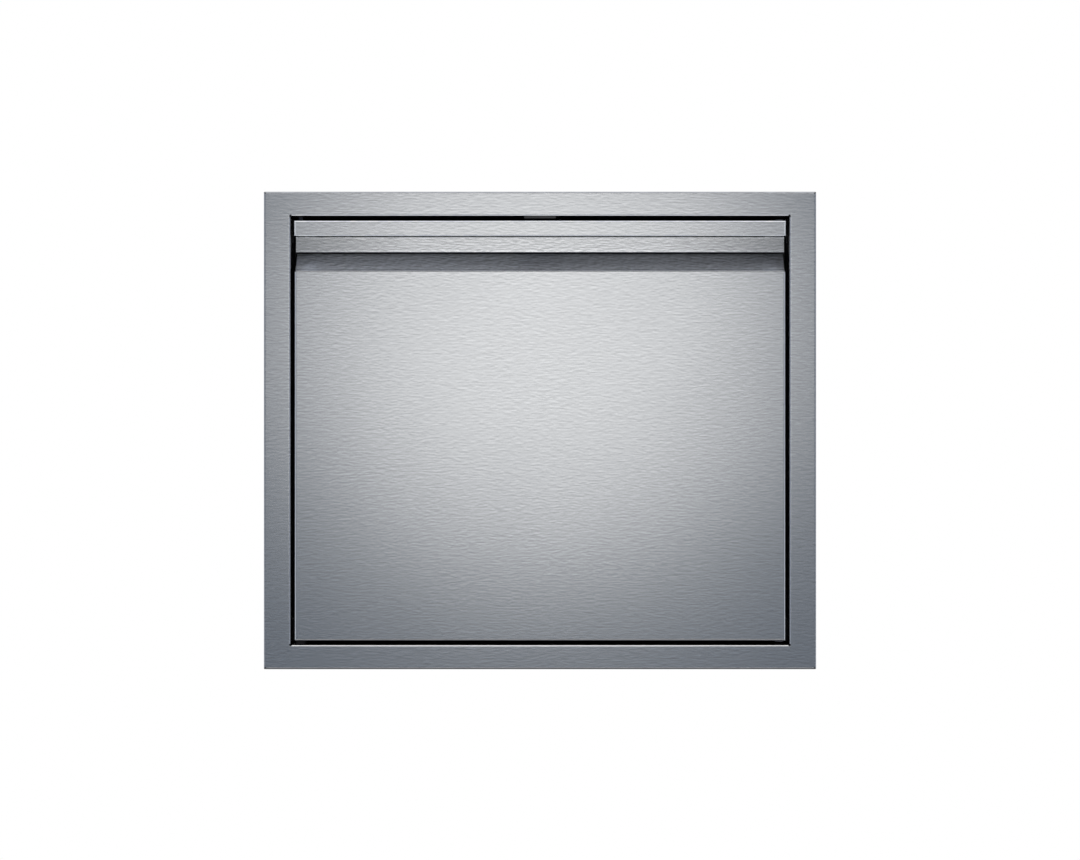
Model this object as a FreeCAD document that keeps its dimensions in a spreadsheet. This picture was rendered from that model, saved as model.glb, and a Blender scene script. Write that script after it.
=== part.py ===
import FreeCAD, Part
import Sketcher
import math
import os
import re

# Single access door for an outdoor kitchen, in millimetres.
# X runs to the right, Y runs into the wall and Z runs up. The origin is the middle of the
# frame on the wall's face (y = 0), so the front of the door looks along -Y.

# Driving sizes: name, value, what it is
SIZES = [
    ("frame_width", 609.6, "face frame, overall width"),
    ("frame_height", 527.05, "face frame, overall height"),
    ("side_flange", 29.65, "face width left and right of the opening"),
    ("end_flange", 27.0, "face width above and below the opening"),
    ("sheet_gauge", 1.2, "stainless sheet of frame, skin, grip and rails"),
    ("inner_bend", 0.8, "inside radius of every bend"),
    ("face_projection", 10.0, "how far the face stands off the wall"),
    ("jamb_depth", 56.0, "jamb depth behind the wall's face"),
    ("relief_diameter", 2.4, "corner relief holes in the folded sheet"),
    ("relief_depth", 4.0, "corner relief holes, depth from the front"),
    ("corner_notch", 0.8, "groove where the returns are welded at the outer corners"),
    ("screw_hole", 5.0, "fixing holes in the side jambs"),
    ("screw_spacing", 300.0, "height between the fixing holes"),
    ("screw_setback", 8.0, "fixing holes from the jamb's rear edge"),
    ("stop_leg", 27.0, "stop rail, leg that the door closes on"),
    ("weld_leg", 12.0, "stop rail, leg welded to the jamb"),
    ("seal_inset", 1.0, "seal from the jamb"),
    ("seal_width", 16.0, "seal, width"),
    ("seal_height", 4.0, "seal, height"),
    ("seal_round", 3.0, "seal, rounding towards the door"),
    ("seal_gap", 0.6, "closed door to seal"),
    ("side_gap", 4.3, "door to jamb, left and right"),
    ("top_gap", 4.7, "door to jamb, above"),
    ("bottom_gap", 4.5, "door to jamb, below"),
    ("door_depth", 34.0, "door, front to back"),
    ("lip_height", 17.1, "pull lip, height"),
    ("throat_height", 38.8, "opening of the grip below the lip"),
    ("recess_depth", 24.0, "grip, depth from the front"),
    ("slope_rise", 20.2, "rise of the sloping grip floor"),
    ("joint_gap", 0.5, "shadow gap between the grip's floor and its back wall"),
    ("hem_height", 8.0, "hem folded up behind the lip"),
    ("hem_flat", 0.2, "flat between the two rounds of the hem's fold"),
    ("rear_flange", 36.0, "door skin, flanges behind"),
    ("liner_gauge", 1.0, "liner sheet"),
    ("liner_margin", 1.0, "liner edge from the door's edge"),
    ("liner_screw_line", 29.0, "liner screws from the door's edge"),
    ("liner_screw_top", 14.5, "top liner screws below the skin's upper edge"),
    ("liner_bottom_spacing", 180.0, "between the two liner screws at the bottom"),
    ("liner_screw", 4.0, "liner screws, thread diameter"),
    ("liner_screw_head", 7.6, "liner screws, head diameter"),
    ("liner_screw_rise", 2.2, "liner screws, head height"),
    ("liner_screw_length", 7.0, "liner screws, length under the head"),
    ("screw_clearance", 0.1, "clearance round screws and rivets"),
    ("stiffener_spacing", 210.0, "between the two stiffeners"),
    ("stiffener_crown", 30.0, "stiffener, width of the crown"),
    ("stiffener_foot", 12.0, "stiffener, width of each foot"),
    ("stiffener_gap_below", 12.0, "stiffener above the bottom flange"),
    ("stiffener_gap_above", 24.0, "stiffener below the top of the panel"),
    ("bond_gap", 0.3, "adhesive between stiffener and skin"),
    ("pivot_inset", 6.5, "pivot axis from the door's side edge"),
    ("pivot_depth", 7.0, "pivot axis behind the door's front"),
    ("pivot_diameter", 6.0, "pivot pins"),
    ("running_clearance", 0.05, "clearance round a running pin"),
    ("sliding_clearance", 0.1, "clearance round the upper pin's collar and tail"),
    ("bush_diameter", 8.0, "bushing barrel"),
    ("bush_flange_diameter", 12.0, "bushing flange, diameter"),
    ("bush_flange", 1.0, "bushing flange, thickness"),
    ("bush_stand", 0.8, "bushing past its reinforcement"),
    ("reinforcement", 2.5, "jamb reinforcement plates, thickness"),
    ("reinforcement_length", 22.0, "jamb reinforcement plates, along the jamb"),
    ("reinforcement_width", 18.0, "jamb reinforcement plates, into the wall"),
    ("pin_engagement", 4.0, "pins inside their bushings"),
    ("pin_travel", 4.5, "stroke of the sprung upper pin"),
    ("pin_chamfer", 0.8, "lead-in on the pins"),
    ("washer_play", 0.1, "door to thrust washer"),
    ("block_length", 22.0, "lip end blocks, along the lip"),
    ("block_depth", 13.0, "lip end blocks, front to back"),
    ("block_clearance", 0.5, "lip end blocks above the lip's lower edge"),
    ("block_web", 2.5, "lip end blocks, roof over the spring chamber"),
    ("nose_width", 1.5, "lip end blocks, nose shown at the lip's end"),
    ("chamber_diameter", 8.4, "spring chamber"),
    ("collar_height", 3.5, "collar of the upper pin"),
    ("tail_diameter", 3.0, "upper pin inside its spring"),
    ("cap_height", 1.5, "cap below the spring"),
    ("spring_wire", 0.6, "spring, side of the square wire"),
    ("spring_diameter", 7.4, "spring, outside"),
    ("spring_turns", 3.0, "spring, turns"),
    ("lever_diameter", 2.5, "release lever, rod"),
    ("lever_reach", 2.0, "release lever, rod shown behind its block"),
    ("knob_diameter", 5.0, "release lever, knob"),
    ("knob_length", 3.0, "release lever, knob"),
    ("knob_bevel", 0.8, "release lever, bevel of the knob"),
    ("lower_plate", 3.0, "lower pivot plates, thickness"),
    ("lower_plate_length", 40.0, "lower pivot plates, along the door"),
    ("lower_plate_width", 26.0, "lower pivot plates, front to back"),
    ("pin_head_diameter", 9.0, "head of the lower pin"),
    ("pin_head_height", 2.5, "head of the lower pin"),
    ("plug_head", 0.9, "hole plugs, head thickness"),
    ("plug_overlap", 2.0, "hole plugs, head past the hole"),
    ("plug_barrel", 3.0, "hole plugs, barrel length"),
    ("catch_width", 34.6, "catch, along the jamb"),
    ("catch_depth", 18.0, "catch, front to back"),
    ("catch_height", 2.3, "catch, thickness"),
    ("catch_bevel", 0.8, "catch, bevel of the front edge"),
    ("catch_setback", 2.2, "catch behind the frame's front"),
    ("rivet_spacing", 26.0, "between the catch rivets"),
    ("rivet_diameter", 3.0, "catch rivets, shank"),
    ("rivet_head", 5.0, "catch rivets, heads"),
    ("rivet_head_height", 1.0, "catch rivets, heads"),
    ("magnet_length", 17.0, "magnet, along the jamb"),
    ("magnet_width", 10.0, "magnet, front to back"),
    ("magnet_height", 1.5, "magnet, thickness"),
    ("strike_length", 44.0, "strike plate, along the lip"),
    ("strike_width", 15.0, "strike plate, front to back"),
    ("strike_height", 2.0, "strike plate, thickness"),
    ("strike_setback", 3.6, "strike plate behind the lip's front"),
]
SIZE_NAMES = [name for name, number, note in SIZES]

# Lengths that follow from the driving sizes
DERIVED = {
    "opening_half_width": "frame_width / 2 - side_flange",
    "opening_half_height": "frame_height / 2 - end_flange",
    "outer_bend": "inner_bend + sheet_gauge",
    "door_half_width": "opening_half_width - side_gap",
    "door_bottom": "bottom_gap - opening_half_height",
    "door_top": "opening_half_height - top_gap",
    "door_front": "0 - face_projection",
    "door_back": "door_front + door_depth",
    "skin_back": "door_back - liner_gauge",
    "lip_bottom": "door_top - lip_height",
    "panel_top": "lip_bottom - throat_height",
    "slope_top": "panel_top + slope_rise",
    "slope_edge": "sheet_gauge * sqrt(recess_depth ^ 2 + slope_rise ^ 2) / recess_depth",
    "wall_front": "door_front + recess_depth",
    "wall_back": "wall_front + sheet_gauge",
    "wall_bottom": "slope_top + joint_gap",
    "hem_back": "door_front + 2 * sheet_gauge",
    "hem_bend": "sheet_gauge - hem_flat / 2",
    "stop_face": "door_back + seal_gap + seal_height",
    "pivot_x": "door_half_width - pivot_inset",
    "pivot_y": "door_front + pivot_depth",
    "pivot_bore": "pivot_diameter + 2 * running_clearance",
    "block_bottom": "lip_bottom + block_clearance",
    "block_top": "door_top - sheet_gauge",
    "block_back": "door_front + sheet_gauge + block_depth",
    "chamber_top": "block_top - block_web",
    "collar_bottom": "chamber_top - collar_height",
    "lever_height": "chamber_top - collar_height / 2",
    "lower_plate_top": "door_bottom + sheet_gauge + lower_plate",
    "screw_bore": "liner_screw + 2 * screw_clearance",
    "rivet_bore": "rivet_diameter + 2 * screw_clearance",
    "catch_front": "door_front + catch_setback",
    "catch_middle": "catch_front + catch_depth / 2",
    "catch_bottom": "opening_half_height - catch_height",
    "rivet_x": "rivet_spacing / 2",
}

NEAR = 0.01

doc = FreeCAD.newDocument("access_door")
sheet = doc.addObject("Spreadsheet::Sheet", "Sizes")
for row, (name, number, note) in enumerate(SIZES, 1):
    sheet.set(f"A{row}", note)
    sheet.set(f"B{row}", str(number))
    sheet.setAlias(f"B{row}", name)
doc.recompute()


def formula(text):
    """Spell a formula out: a size becomes its cell, a derived length becomes its own formula."""

    def spell(match):
        word = match.group(0)
        if word in SIZE_NAMES:
            return "Sizes." + word
        if word in DERIVED:
            return "(" + formula(DERIVED[word]) + ")"
        return word

    return re.sub("[a-z_]+", spell, text)


def value(text):
    """The number that a formula comes to."""
    return float(sheet.evalExpression(formula(text)))


# Sketches

def new_body(label):
    body = doc.addObject("PartDesign::Body", label)
    body.Label = label
    return body


def sketch_on(body, plane, offset="0"):
    """An empty sketch on one of the body's own planes, moved along the plane's normal."""
    sketch = body.newObject("Sketcher::SketchObject", body.Name + "_sketch")
    support = next(item for item in body.Origin.OriginFeatures if item.Role == plane)
    sketch.AttachmentSupport = [(support, "")]
    sketch.MapMode = "FlatFace"
    sketch.setExpression("AttachmentOffset.Base.z", formula(offset))
    return sketch


def pin_point(sketch, geometry, point, across, up):
    """Tie one point of a sketch to two formulas measured from the origin."""
    for kind, text in (("DistanceX", across), ("DistanceY", up)):
        number = sketch.addConstraint(Sketcher.Constraint(kind, -1, 1, geometry, point, value(text)))
        sketch.setExpression(f"Constraints[{number}]", formula(text))


def outline(sketch, corners):
    """A closed polygon through corners, each given as a pair of formulas."""
    points = [FreeCAD.Vector(value(across), value(up), 0) for across, up in corners]
    first = sketch.GeometryCount
    count = len(points)
    for index, point in enumerate(points):
        sketch.addGeometry(Part.LineSegment(point, points[(index + 1) % count]))
    for index in range(count):
        following = first + (index + 1) % count
        sketch.addConstraint(Sketcher.Constraint("Coincident", first + index, 2, following, 1))
    for index, (across, up) in enumerate(corners):
        pin_point(sketch, first + index, 1, across, up)


def rectangle(sketch, left, right, bottom, top):
    outline(sketch, [(left, bottom), (right, bottom), (right, top), (left, top)])


def centred_rectangle(sketch, half_width, half_height):
    rectangle(sketch, f"0 - ({half_width})", half_width, f"0 - ({half_height})", half_height)


def circle(sketch, across, up, diameter):
    centre = FreeCAD.Vector(value(across), value(up), 0)
    number = sketch.addGeometry(Part.Circle(centre, FreeCAD.Vector(0, 0, 1), value(diameter) / 2))
    pin_point(sketch, number, 3, across, up)
    size = sketch.addConstraint(Sketcher.Constraint("Diameter", number, value(diameter)))
    sketch.setExpression(f"Constraints[{size}]", formula(diameter))


# Features

def extrude(body, kind, sketch, length, backwards, both_ways):
    feature = body.newObject(kind, sketch.Name + "_feature")
    feature.Profile = sketch
    feature.Reversed = backwards
    feature.SideType = "Symmetric" if both_ways else "One side"
    feature.setExpression("Length", formula(length))
    doc.recompute()
    return feature


def pad(body, sketch, length, backwards=False, both_ways=False):
    """Add material along the sketch's normal, or against it."""
    return extrude(body, "PartDesign::Pad", sketch, length, backwards, both_ways)


def cut(body, sketch, length, backwards=False, both_ways=False):
    """Cut material along the sketch's normal, or against it, and make sure that some came away."""
    before = body.Shape.Volume
    feature = extrude(body, "PartDesign::Pocket", sketch, length, not backwards, both_ways)
    if body.Shape.Volume > before - NEAR:
        raise ValueError(f"{feature.Name} cuts nothing")
    return feature


def edges_at(shape, *places):
    """Names of the straight edges that lie wholly at one of the places (formulas for x, y or z)."""
    names = []
    targets = [{axis: value(text) for axis, text in place.items()} for place in places]
    for number, edge in enumerate(shape.Edges, 1):
        box = edge.BoundBox
        spans = {"x": (box.XMin, box.XMax), "y": (box.YMin, box.YMax), "z": (box.ZMin, box.ZMax)}
        for target in targets:
            if all(max(abs(end - goal) for end in spans[axis]) < NEAR for axis, goal in target.items()):
                names.append(f"Edge{number}")
                break
    return names


def round_edges(body, radius, *places):
    """Round the edges at the given places, as a bend or a mould leaves them."""
    base = body.Tip
    names = edges_at(base.Shape, *places)
    if not names:
        raise ValueError(f"{body.Label} has no edges at {places}")
    fillet = body.newObject("PartDesign::Fillet", body.Name + "_round")
    fillet.Base = (base, names)
    fillet.setExpression("Radius", formula(radius))
    doc.recompute()


def bevel_edges(body, size, *places):
    """Bevel the edges at the given places."""
    base = body.Tip
    chamfer = body.newObject("PartDesign::Chamfer", body.Name + "_bevel")
    chamfer.Base = (base, edges_at(base.Shape, *places))
    chamfer.setExpression("Size", formula(size))
    doc.recompute()


def stepped(label, plane, places, layers):
    """Round pieces at several places. A layer is a diameter with its start and end along the normal."""
    body = new_body(label)
    for diameter, start, end in layers:
        sketch = sketch_on(body, plane, start)
        for across, up in places:
            circle(sketch, across, up, diameter)
        pad(body, sketch, f"({end}) - ({start})")
    return body


def bore(body, plane, places, diameter, start, end):
    """Round holes from start to end along the plane's normal."""
    sketch = sketch_on(body, plane, start)
    for across, up in places:
        circle(sketch, across, up, diameter)
    cut(body, sketch, f"({end}) - ({start})")


def plate(label, plane, start, end, left, right, bottom, top):
    """A flat plate between two offsets along the plane's normal."""
    body = new_body(label)
    sketch = sketch_on(body, plane, start)
    rectangle(sketch, left, right, bottom, top)
    pad(body, sketch, f"({end}) - ({start})")
    return body


def mirrored(label, source):
    """The same piece on the other side of the door."""
    mirror = doc.addObject("Part::Mirroring", label)
    mirror.Label = label
    mirror.Source = source
    mirror.Base = FreeCAD.Vector(0, 0, 0)
    mirror.Normal = FreeCAD.Vector(1, 0, 0)
    doc.recompute()
    return mirror


def grouped(label, pieces):
    """Separate pieces kept under one name."""
    group = doc.addObject("Part::Compound", label)
    group.Label = label
    group.Links = pieces
    doc.recompute()
    return group


def pair(label, left_piece):
    """A left piece and its mirror image under one name."""
    left_piece.Label = label + "_left"
    return grouped(label, [left_piece, mirrored(label + "_right", left_piece)])


LEFT_PIVOT = ("0 - pivot_x", "pivot_y")
RIGHT_PIVOT = ("pivot_x", "pivot_y")
BOTH_PIVOTS = [LEFT_PIVOT, RIGHT_PIVOT]
CATCH_RIVETS = [("0 - rivet_x", "catch_middle"), ("rivet_x", "catch_middle")]


# Face frame: one sheet folded into a face, returns to the wall and a jamb

def make_face_frame():
    body = new_body("face_frame")
    face = sketch_on(body, "XZ_Plane")
    centred_rectangle(face, "frame_width / 2", "frame_height / 2")
    centred_rectangle(face, "opening_half_width", "opening_half_height")
    pad(body, face, "face_projection")

    hollow = sketch_on(body, "XZ_Plane")
    centred_rectangle(hollow, "frame_width / 2 - sheet_gauge", "frame_height / 2 - sheet_gauge")
    centred_rectangle(hollow, "opening_half_width + sheet_gauge", "opening_half_height + sheet_gauge")
    cut(body, hollow, "face_projection - sheet_gauge")

    jamb = sketch_on(body, "XZ_Plane")
    centred_rectangle(jamb, "opening_half_width + sheet_gauge", "opening_half_height + sheet_gauge")
    centred_rectangle(jamb, "opening_half_width", "opening_half_height")
    pad(body, jamb, "jamb_depth", backwards=True)

    outside = []
    inside = []
    face_back = "sheet_gauge - face_projection"
    for sign in ("", "0 - "):
        outside.append({"y": "door_front", "x": f"{sign}frame_width / 2"})
        outside.append({"y": "door_front", "z": f"{sign}frame_height / 2"})
        outside.append({"y": "door_front", "x": f"{sign}opening_half_width"})
        outside.append({"y": "door_front", "z": f"{sign}opening_half_height"})
        inside.append({"y": face_back, "x": f"{sign}(frame_width / 2 - sheet_gauge)"})
        inside.append({"y": face_back, "z": f"{sign}(frame_height / 2 - sheet_gauge)"})
        inside.append({"y": face_back, "x": f"{sign}(opening_half_width + sheet_gauge)"})
        inside.append({"y": face_back, "z": f"{sign}(opening_half_height + sheet_gauge)"})
    round_edges(body, "outer_bend", *outside)
    round_edges(body, "inner_bend", *inside)

    # Round reliefs at the opening's corners, grooves where the returns meet
    reliefs = []
    grooves = sketch_on(body, "XZ_Plane")
    for across in ("", "0 - "):
        for up in ("", "0 - "):
            reliefs.append((f"{across}opening_half_width", f"{up}opening_half_height"))
            corner_x = f"{across}frame_width / 2"
            corner_z = f"{up}frame_height / 2"
            rectangle(
                grooves, f"{corner_x} - corner_notch", f"{corner_x} + corner_notch",
                f"{corner_z} - corner_notch", f"{corner_z} + corner_notch",
            )
    cut(body, grooves, "face_projection")
    bore(body, "XZ_Plane", reliefs, "relief_diameter", "face_projection - relief_depth", "face_projection")

    jamb_reach = "opening_half_height + sheet_gauge + reinforcement"
    bore(body, "XY_Plane", BOTH_PIVOTS, "bush_diameter", f"0 - ({jamb_reach})", jamb_reach)
    bore(body, "XY_Plane", CATCH_RIVETS, "rivet_bore", "0", jamb_reach)
    fixings = []
    for sign in ("", "0 - "):
        fixings.append(("jamb_depth - screw_setback", f"{sign}screw_spacing / 2"))
    bore(body, "YZ_Plane", fixings, "screw_hole", "0 - frame_width / 2", "frame_width / 2")
    return body


# Stop rails: angles welded inside the jamb, the long leg facing the door

def make_level_rail(label, sign):
    """Upper rail, or lower rail with the sign turned."""
    body = new_body(label)
    profile = sketch_on(body, "YZ_Plane")
    jamb = f"{sign}opening_half_height"
    outline(profile, [
        ("stop_face", jamb),
        ("stop_face", f"{sign}(opening_half_height - stop_leg)"),
        ("stop_face + sheet_gauge", f"{sign}(opening_half_height - stop_leg)"),
        ("stop_face + sheet_gauge", f"{sign}(opening_half_height - sheet_gauge)"),
        ("stop_face + weld_leg", f"{sign}(opening_half_height - sheet_gauge)"),
        ("stop_face + weld_leg", jamb),
    ])
    pad(body, profile, "2 * opening_half_width", both_ways=True)
    round_edges(body, "outer_bend", {"y": "stop_face", "z": jamb})
    return body


def make_stop_rail_left():
    """Rail between the upper and the lower rail, on the hinge side."""
    body = new_body("stop_rail_left")
    profile = sketch_on(body, "XY_Plane")
    jamb = "0 - opening_half_width"
    outline(profile, [
        (jamb, "stop_face"),
        (f"{jamb} + stop_leg", "stop_face"),
        (f"{jamb} + stop_leg", "stop_face + sheet_gauge"),
        (f"{jamb} + sheet_gauge", "stop_face + sheet_gauge"),
        (f"{jamb} + sheet_gauge", "stop_face + weld_leg"),
        (jamb, "stop_face + weld_leg"),
    ])
    pad(body, profile, "2 * (opening_half_height - stop_leg)", both_ways=True)
    round_edges(body, "outer_bend", {"x": jamb, "y": "stop_face"})
    return body


# Seal: broad rubber ring glued to the stop rails behind the gap, rounded towards the door

def make_door_seal():
    body = new_body("door_seal")
    ring = sketch_on(body, "XZ_Plane", "0 - stop_face")
    crown = "stop_face - seal_height"
    places = []
    for inset in ("seal_inset", "(seal_inset + seal_width)"):
        half_width = f"(opening_half_width - {inset})"
        half_height = f"(opening_half_height - {inset})"
        centred_rectangle(ring, half_width, half_height)
        for sign in ("", "0 - "):
            places.append({"y": crown, "x": sign + half_width})
            places.append({"y": crown, "z": sign + half_height})
    pad(body, ring, "seal_height")
    round_edges(body, "seal_round", *places)
    return body


# Pivots in the frame

def make_pivot_reinforcements():
    """Plates welded outside the jamb at all four pivot holes."""
    body = new_body("pivot_reinforcements")
    front = "door_front + sheet_gauge + inner_bend"
    jamb_outside = "opening_half_height + sheet_gauge"
    for start in (jamb_outside, f"0 - ({jamb_outside}) - reinforcement"):
        plates = sketch_on(body, "XY_Plane", start)
        for sign in ("", "0 - "):
            left = f"{sign}pivot_x - reinforcement_length / 2"
            right = f"{sign}pivot_x + reinforcement_length / 2"
            rectangle(plates, left, right, front, f"{front} + reinforcement_width")
        for across, up in BOTH_PIVOTS:
            circle(plates, across, up, "bush_diameter")
        pad(body, plates, "reinforcement")
    return body


def make_bushing(label, layers):
    body = stepped(label, "XY_Plane", [LEFT_PIVOT], layers)
    lowest = layers[0][1]
    highest = layers[-1][2]
    bore(body, "XY_Plane", [LEFT_PIVOT], "pivot_bore", lowest, highest)
    return body


BUSH_REACH = "opening_half_height + sheet_gauge + reinforcement + bush_stand"


def make_upper_bushing():
    return make_bushing("upper_bushing", [
        ("bush_flange_diameter", "opening_half_height - bush_flange", "opening_half_height"),
        ("bush_diameter", "opening_half_height", BUSH_REACH),
    ])


def make_lower_bushing():
    return make_bushing("lower_bushing", [
        ("bush_diameter", f"0 - ({BUSH_REACH})", "0 - opening_half_height"),
        ("bush_flange_diameter", "0 - opening_half_height", "bush_flange - opening_half_height"),
    ])


def make_thrust_washer():
    return make_bushing("thrust_washer", [
        ("bush_flange_diameter", "bush_flange - opening_half_height", "door_bottom - washer_play"),
    ])


def make_frame_hole_plugs():
    """Plugs in the jamb's pivot holes on the side without pivots."""
    upper = stepped("upper_frame_plug", "XY_Plane", [RIGHT_PIVOT], [
        ("bush_diameter + 2 * plug_overlap", "opening_half_height - plug_head", "opening_half_height"),
        ("bush_diameter", "opening_half_height", "opening_half_height + plug_barrel"),
    ])
    lower = stepped("lower_frame_plug", "XY_Plane", [RIGHT_PIVOT], [
        ("bush_diameter", "0 - opening_half_height - plug_barrel", "0 - opening_half_height"),
        ("bush_diameter + 2 * plug_overlap", "0 - opening_half_height", "plug_head - opening_half_height"),
    ])
    return grouped("frame_hole_plugs", [upper, lower])


# Catch: flat housing riveted under the top jamb, with a magnet let in from below

def make_catch_body():
    body = plate(
        "catch_body", "XY_Plane", "catch_bottom", "opening_half_height",
        "0 - catch_width / 2", "catch_width / 2", "catch_front", "catch_front + catch_depth",
    )
    pocket = sketch_on(body, "XY_Plane", "catch_bottom")
    rectangle(
        pocket, "0 - magnet_length / 2", "magnet_length / 2",
        "catch_middle - magnet_width / 2", "catch_middle + magnet_width / 2",
    )
    cut(body, pocket, "magnet_height")
    bore(body, "XY_Plane", CATCH_RIVETS, "rivet_bore", "catch_bottom", "opening_half_height")
    recess = "rivet_head + 2 * screw_clearance"
    bore(body, "XY_Plane", CATCH_RIVETS, recess, "catch_bottom", "catch_bottom + rivet_head_height")
    bevel_edges(body, "catch_bevel", {"y": "catch_front", "z": "catch_bottom"})
    return body


def make_catch_magnet():
    return plate(
        "catch_magnet", "XY_Plane", "catch_bottom", "catch_bottom + magnet_height",
        "0 - magnet_length / 2", "magnet_length / 2",
        "catch_middle - magnet_width / 2", "catch_middle + magnet_width / 2",
    )


def make_catch_rivets():
    jamb_outside = "opening_half_height + sheet_gauge"
    return stepped("catch_rivets", "XY_Plane", CATCH_RIVETS, [
        ("rivet_head", "catch_bottom", "catch_bottom + rivet_head_height"),
        ("rivet_diameter", "catch_bottom + rivet_head_height", jamb_outside),
        ("rivet_head", jamb_outside, f"{jamb_outside} + rivet_head_height"),
    ])


# Door skin: front panel with the sloping grip floor above and flanges folded back

def make_door_skin():
    body = new_body("door_skin")
    profile = sketch_on(body, "YZ_Plane")
    inner_front = "door_front + sheet_gauge"
    slope_start = "panel_top + sheet_gauge * slope_rise / recess_depth - slope_edge"
    outline(profile, [
        ("door_front", "panel_top"),
        ("door_front", "door_bottom"),
        ("skin_back", "door_bottom"),
        ("skin_back", "door_bottom + rear_flange"),
        ("skin_back - sheet_gauge", "door_bottom + rear_flange"),
        ("skin_back - sheet_gauge", "door_bottom + sheet_gauge"),
        (inner_front, "door_bottom + sheet_gauge"),
        (inner_front, slope_start),
        ("wall_front", "slope_top - slope_edge"),
        ("wall_front", "slope_top"),
    ])
    pad(body, profile, "2 * door_half_width", both_ways=True)

    for sign, backwards in (("0 - ", False), ("", True)):
        side = sketch_on(body, "YZ_Plane", f"{sign}door_half_width")
        outline(side, [
            ("door_front", "panel_top"),
            ("door_front", "door_bottom"),
            ("skin_back", "door_bottom"),
            ("skin_back", "slope_top - slope_edge"),
            ("wall_front", "slope_top - slope_edge"),
            ("wall_front", "slope_top"),
        ])
        pad(body, side, "sheet_gauge", backwards)
        flange = sketch_on(body, "YZ_Plane", f"{sign}door_half_width")
        rectangle(flange, "skin_back - sheet_gauge", "skin_back", "door_bottom", "slope_top - slope_edge")
        pad(body, flange, "rear_flange", backwards)

    bends = [{"y": "door_front", "z": "door_bottom"}, {"y": "skin_back", "z": "door_bottom"}]
    inner_bends = [{"y": inner_front, "z": "door_bottom + sheet_gauge"}]
    for sign in ("", "0 - "):
        bends.append({"x": f"{sign}door_half_width", "y": "door_front"})
        bends.append({"x": f"{sign}door_half_width", "y": "skin_back"})
        inner_bends.append({"x": f"{sign}(door_half_width - sheet_gauge)", "y": inner_front})
    round_edges(body, "outer_bend", *bends)
    round_edges(body, "inner_bend", *inner_bends)
    round_edges(body, "outer_bend", {"y": "door_front", "z": "panel_top"})

    corners = [("0 - door_half_width", "door_bottom"), ("door_half_width", "door_bottom")]
    bore(body, "XZ_Plane", corners, "relief_diameter", "face_projection - relief_depth", "face_projection")
    bore(body, "XY_Plane", BOTH_PIVOTS, "pivot_bore", "door_bottom", "door_bottom + sheet_gauge")
    bore(body, "XZ_Plane", skin_screws(), "screw_bore", "0 - skin_back", "sheet_gauge - skin_back")
    return body


# Grip channel: back wall, top and hemmed pull lip, folded from one sheet. The foot of the wall
# turns back above the grip's floor and is welded to the end plates.

def make_grip_channel():
    body = new_body("grip_channel")
    profile = sketch_on(body, "YZ_Plane")
    inner_top = "door_top - sheet_gauge"
    foot_back = "skin_back - sheet_gauge"
    foot_top = "wall_bottom + sheet_gauge"
    outline(profile, [
        ("door_front", "door_top"),
        ("door_front", "lip_bottom"),
        ("hem_back", "lip_bottom"),
        ("hem_back", "lip_bottom + hem_height"),
        ("door_front + sheet_gauge", "lip_bottom + hem_height"),
        ("door_front + sheet_gauge", inner_top),
        ("wall_front", inner_top),
        ("wall_front", "wall_bottom"),
        (foot_back, "wall_bottom"),
        (foot_back, foot_top),
        ("wall_back", foot_top),
        ("wall_back", "door_top"),
    ])
    pad(body, profile, "2 * door_half_width", both_ways=True)
    bends = [{"y": "door_front", "z": "door_top"}, {"y": "wall_back", "z": "door_top"}]
    bends.append({"y": "wall_front", "z": "wall_bottom"})
    round_edges(body, "outer_bend", *bends)
    round_edges(body, "inner_bend", {"y": "wall_front", "z": inner_top}, {"y": "wall_back", "z": foot_top})
    round_edges(body, "hem_bend", {"y": "door_front", "z": "lip_bottom"}, {"y": "hem_back", "z": "lip_bottom"})

    # At both ends the hem stops short of the block, the lip of its nose and the foot of the end plate
    for sign, backwards in (("0 - ", False), ("", True)):
        for front, back, bottom, top, length in (
            ("door_front + sheet_gauge", "hem_back", "lip_bottom", "lip_bottom + hem_height", "block_length"),
            ("door_front", "hem_back", "lip_bottom", "door_top", "nose_width"),
            ("wall_back", foot_back, "wall_bottom", "wall_bottom + outer_bend", "sheet_gauge"),
        ):
            notch = sketch_on(body, "YZ_Plane", f"{sign}door_half_width")
            rectangle(notch, front, back, bottom, top)
            cut(body, notch, length, backwards)
    bore(body, "XY_Plane", BOTH_PIVOTS, "pivot_bore", inner_top, "door_top")
    return body


def make_grip_end_plates():
    """Folded plates that close the door's sides behind the grip."""
    body = new_body("grip_end_plates_left")
    profile = sketch_on(body, "XY_Plane", "slope_top - slope_edge")
    edge = "0 - door_half_width"
    outline(profile, [
        (edge, "wall_back"),
        (f"{edge} + sheet_gauge", "wall_back"),
        (f"{edge} + sheet_gauge", "skin_back - sheet_gauge"),
        (f"{edge} + rear_flange", "skin_back - sheet_gauge"),
        (f"{edge} + rear_flange", "skin_back"),
        (edge, "skin_back"),
    ])
    pad(body, profile, "door_top - liner_gauge - slope_top + slope_edge")
    round_edges(body, "outer_bend", {"x": edge, "y": "skin_back"})
    return pair("grip_end_plates", body)


# Liner: back panel of the door, folded forward over the top

SIDE_SCREWS = 2


def side_screw_heights():
    """Heights of the liner screws up each side, evenly spaced."""
    lowest = "(door_bottom + liner_screw_line)"
    highest = "(slope_top - slope_edge - liner_screw_top)"
    step = f"(({highest} - {lowest}) / {SIDE_SCREWS - 1})"
    return [f"{lowest} + {number} * {step}" for number in range(SIDE_SCREWS)]


def skin_screws():
    """Places of the liner screws: a row up each side and two between them at the bottom."""
    places = []
    for sign in ("", "0 - "):
        for height in side_screw_heights():
            places.append((f"{sign}(door_half_width - liner_screw_line)", height))
        places.append((f"{sign}liner_bottom_spacing / 2", "door_bottom + liner_screw_line"))
    return places


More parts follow.
